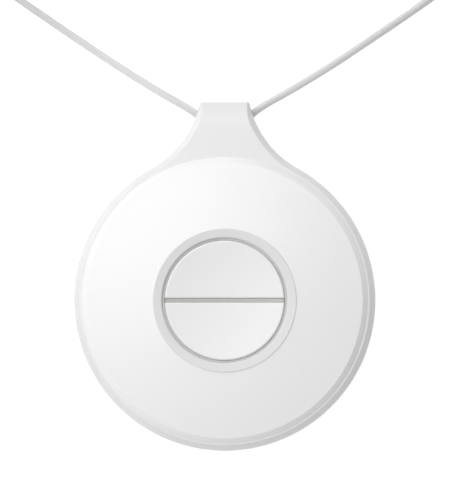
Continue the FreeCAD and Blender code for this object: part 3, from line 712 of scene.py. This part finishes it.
def plainMetal(name, colour, roughness, grain=(1, 1, 1)):
    material, tree, shader = newMaterial(name)
    where = objectCoordinates(tree, grain)
    scratches = noiseOf(tree, where, 0.2 * mm, 4)
    tree.links.new(tint(tree, scratches, colour, 0.88), shader.inputs["Base Color"])
    tree.links.new(spread(tree, scratches, roughness - 0.08, roughness + 0.1),
                   shader.inputs["Roughness"])
    tree.links.new(bumpOf(tree, scratches, 0.003 * mm, 0.4), shader.inputs["Normal"])
    shader.inputs["Metallic"].default_value = 1
    return material


boardLook = {
    "trackSpacing": 2.4 * mm,
    "trackWidth": 0.08,
    "mask": (0.02, 0.14, 0.06, 1),
    "maskLight": (0.025, 0.16, 0.07, 1),
    "track": (0.06, 0.3, 0.14, 1),
    "clothSize": 0.3 * mm,
    "trackRise": 0.02 * mm,
}


def boardLaminate(look):
    material, tree, shader = newMaterial("greenBoard")
    where = objectCoordinates(tree)
    tracks = addNode(tree, "ShaderNodeTexBrick")
    tracks.inputs["Scale"].default_value = 1 / look["trackSpacing"]
    tracks.inputs["Mortar Size"].default_value = look["trackWidth"]
    tracks.inputs["Color1"].default_value = look["mask"]
    tracks.inputs["Color2"].default_value = look["maskLight"]
    tracks.inputs["Mortar"].default_value = look["track"]
    tree.links.new(where, tracks.inputs["Vector"])
    tree.links.new(tracks.outputs["Color"], shader.inputs["Base Color"])
    cloth = noiseOf(tree, where, look["clothSize"], 2)
    tree.links.new(spread(tree, cloth, 0.3, 0.42), shader.inputs["Roughness"])
    raised = bumpOf(tree, tracks.outputs["Fac"], look["trackRise"], 0.5)
    tree.links.new(raised, shader.inputs["Normal"])
    return material


def clearPlastic(name, colour, roughness, share):
    material, tree, shader = newMaterial(name)
    where = objectCoordinates(tree)
    cloud = noiseOf(tree, where, 0.8 * mm, 3)
    tree.links.new(tint(tree, cloud, colour, 0.93), shader.inputs["Base Color"])
    tree.links.new(spread(tree, cloud, roughness - 0.03, roughness + 0.05),
                   shader.inputs["Roughness"])
    tree.links.new(bumpOf(tree, cloud, 0.01 * mm, 0.3), shader.inputs["Normal"])
    shader.inputs["Transmission Weight"].default_value = share
    return material


def softRubber(name, colour, roughness):
    material, tree, shader = newMaterial(name)
    where = objectCoordinates(tree)
    dust = noiseOf(tree, where, 0.25 * mm, 4)
    tree.links.new(tint(tree, dust, colour, 0.9), shader.inputs["Base Color"])
    tree.links.new(spread(tree, dust, roughness - 0.06, roughness + 0.06),
                   shader.inputs["Roughness"])
    tree.links.new(bumpOf(tree, dust, 0.008 * mm, 0.4), shader.inputs["Normal"])
    return material


doorWhite = mouldedPlastic("doorWhite", plasticLook["housing"])
claspWhite = mouldedPlastic("claspWhite", 0.78)
screwZinc = plainMetal("screwZinc", (0.5, 0.5, 0.5), 0.35)
finishes = {
    "rear_housing": mouldedPlastic("housingWhite", plasticLook["housing"]),
    "front_cap": mouldedPlastic("capWhite", plasticLook["cap"]),
    "upper_key": mouldedPlastic("keyWhite", plasticLook["key"]),
    "bezel_ring": mouldedPlastic("bezelGrey", plasticLook["bezel"], 0.4),
    # the light guide's grey-green is its own tint, made darker still as painted shade for the
    # shadowed floor of the split between the keys
    "light_guide": clearPlastic("greyLightGuideWithPaintedShade", (0.58, 0.59, 0.555), 0.35, 0.1),
    "status_led": clearPlastic("clearLamp", (0.9, 0.88, 0.7), 0.15, 0.8),
    "key_membrane": softRubber("greySilicone", (0.5, 0.51, 0.51), 0.6),
    "cap_seal": softRubber("blackSeal", (0.03, 0.03, 0.03), 0.6),
    "circuit_board": boardLaminate(boardLook),
    "radio_chip": softRubber("blackChip", (0.03, 0.03, 0.032), 0.45),
    "coin_cell": plainMetal("cellSteel", (0.62, 0.62, 0.61), 0.28),
    "positive_clip": plainMetal("springSteel", (0.6, 0.58, 0.54), 0.3, (1, 0.2, 1)),
    "board_screws": screwZinc,
    "loop_antenna": plainMetal("copperWire", (0.72, 0.42, 0.24), 0.3),
}
sameFinish = {
    "lower_key": "upper_key",
    "door_seal": "cap_seal",
    "negative_spring": "positive_clip",
    "upper_switch_frame": "positive_clip",
    "lower_switch_frame": "positive_clip",
    "crystal": "positive_clip",
    "upper_switch_base": "radio_chip",
    "lower_switch_base": "radio_chip",
    "upper_switch_plunger": "radio_chip",
    "lower_switch_plunger": "radio_chip",
    "board_parts": "radio_chip",
}
batteryDoor.data.materials.append(doorWhite)
for half in (claspPlug, claspSocket):
    half.data.materials.append(claspWhite)
for screw in caseScrews:
    screw.data.materials.append(screwZinc)
for nodeName, material in finishes.items():
    paint(nodeName, material)
for nodeName, source in sameFinish.items():
    paint(nodeName, finishes[source])
print("materials on", len(finishes) + len(sameFinish), "pieces")


# Table top and studio light

studio = {
    "floorSize": 6.0,
    "floorLevel": -0.02 * mm,
    "worldGrey": 0.304,
    "floorGrey": 0.85,
    "floorRoughness": 0.9,
    "floorGlow": 0.6,
    "lampDistance": 1.0,
    "lampSize": 0.6,
}
lamps = [
    {"name": "overhead", "tilt": 12, "bearing": 135, "power": 2.3},
    {"name": "highTop", "tilt": 24, "bearing": 100, "power": 0.98},
    {"name": "highLeft", "tilt": 24, "bearing": 170, "power": 0.83},
    {"name": "sideLeft", "tilt": 58, "bearing": 170, "power": 1.08},
    {"name": "lowTop", "tilt": 70, "bearing": 90, "power": 2.8},
    {"name": "lowMiddle", "tilt": 72, "bearing": 150, "power": 1.86},
    {"name": "lowBottom", "tilt": 70, "bearing": 235, "power": 1.85},
    {"name": "lowRight", "tilt": 72, "bearing": 315, "power": 0.35},
]


def seenDirectly(tree):
    # 1 for what the camera, a mirror or glass sees, 0 for light that falls on things
    path = addNode(tree, "ShaderNodeLightPath")
    total = path.outputs["Is Camera Ray"]
    for name in ("Is Glossy Ray", "Is Transmission Ray"):
        add = addNode(tree, "ShaderNodeMath", operation="ADD", use_clamp=True)
        tree.links.new(total, add.inputs[0])
        tree.links.new(path.outputs[name], add.inputs[1])
        total = add.outputs[0]
    return total


def addFloor(setup):
    pickNothing()
    bpy.ops.mesh.primitive_plane_add(size=setup["floorSize"], location=(0, 0, setup["floorLevel"]))
    floor = bpy.context.object
    floor.name = "tableTop"
    material, tree, shader = newMaterial("whiteTable")
    shader.inputs["Base Color"].default_value = [setup["floorGrey"]] * 3 + [1]
    shader.inputs["Roughness"].default_value = setup["floorRoughness"]
    shader.inputs["Specular IOR Level"].default_value = 0
    glow = addNode(tree, "ShaderNodeEmission")
    glow.inputs["Strength"].default_value = setup["floorGlow"]
    off = addNode(tree, "ShaderNodeEmission")
    off.inputs["Strength"].default_value = 0
    pick = addNode(tree, "ShaderNodeMixShader")
    tree.links.new(seenDirectly(tree), pick.inputs["Fac"])
    tree.links.new(off.outputs[0], pick.inputs[1])
    tree.links.new(glow.outputs[0], pick.inputs[2])
    both = addNode(tree, "ShaderNodeAddShader")
    tree.links.new(shader.outputs[0], both.inputs[0])
    tree.links.new(pick.outputs[0], both.inputs[1])
    tree.links.new(both.outputs[0], tree.nodes["Material Output"].inputs["Surface"])
    floor.data.materials.append(material)


def addWorld(setup):
    world = bpy.data.worlds.new("studioWorld")
    bpy.context.scene.world = world
    world.use_nodes = True
    tree = world.node_tree
    around = tree.nodes["Background"]
    around.inputs["Color"].default_value = (1, 1, 1, 1)
    around.inputs["Strength"].default_value = setup["worldGrey"]
    seen = addNode(tree, "ShaderNodeBackground")
    seen.inputs["Color"].default_value = (1, 1, 1, 1)
    seen.inputs["Strength"].default_value = 1
    pick = addNode(tree, "ShaderNodeMixShader")
    tree.links.new(seenDirectly(tree), pick.inputs["Fac"])
    tree.links.new(around.outputs[0], pick.inputs[1])
    tree.links.new(seen.outputs[0], pick.inputs[2])
    tree.links.new(pick.outputs[0], tree.nodes["World Output"].inputs["Surface"])


def addSoftbox(setup, plan):
    # tilt from straight above, bearing from the right, both in degrees
    tilt = math.radians(plan["tilt"])
    turn = math.radians(plan["bearing"])
    aside = math.sin(tilt)
    place = Vector((aside * math.cos(turn), aside * math.sin(turn), math.cos(tilt)))
    bpy.ops.object.light_add(type="AREA", location=place * setup["lampDistance"])
    lamp = bpy.context.object
    lamp.name = plan["name"]
    lamp.rotation_euler = place.to_track_quat("Z", "Y").to_euler()
    lamp.data.shape = "DISK"
    lamp.data.size = setup["lampSize"]
    lamp.data.energy = plan["power"]
    lamp.visible_camera = False


addFloor(studio)
addWorld(studio)
for lampPlan in lamps:
    addSoftbox(studio, lampPlan)
bpy.context.scene.view_settings.view_transform = "Standard"
print("studio set")
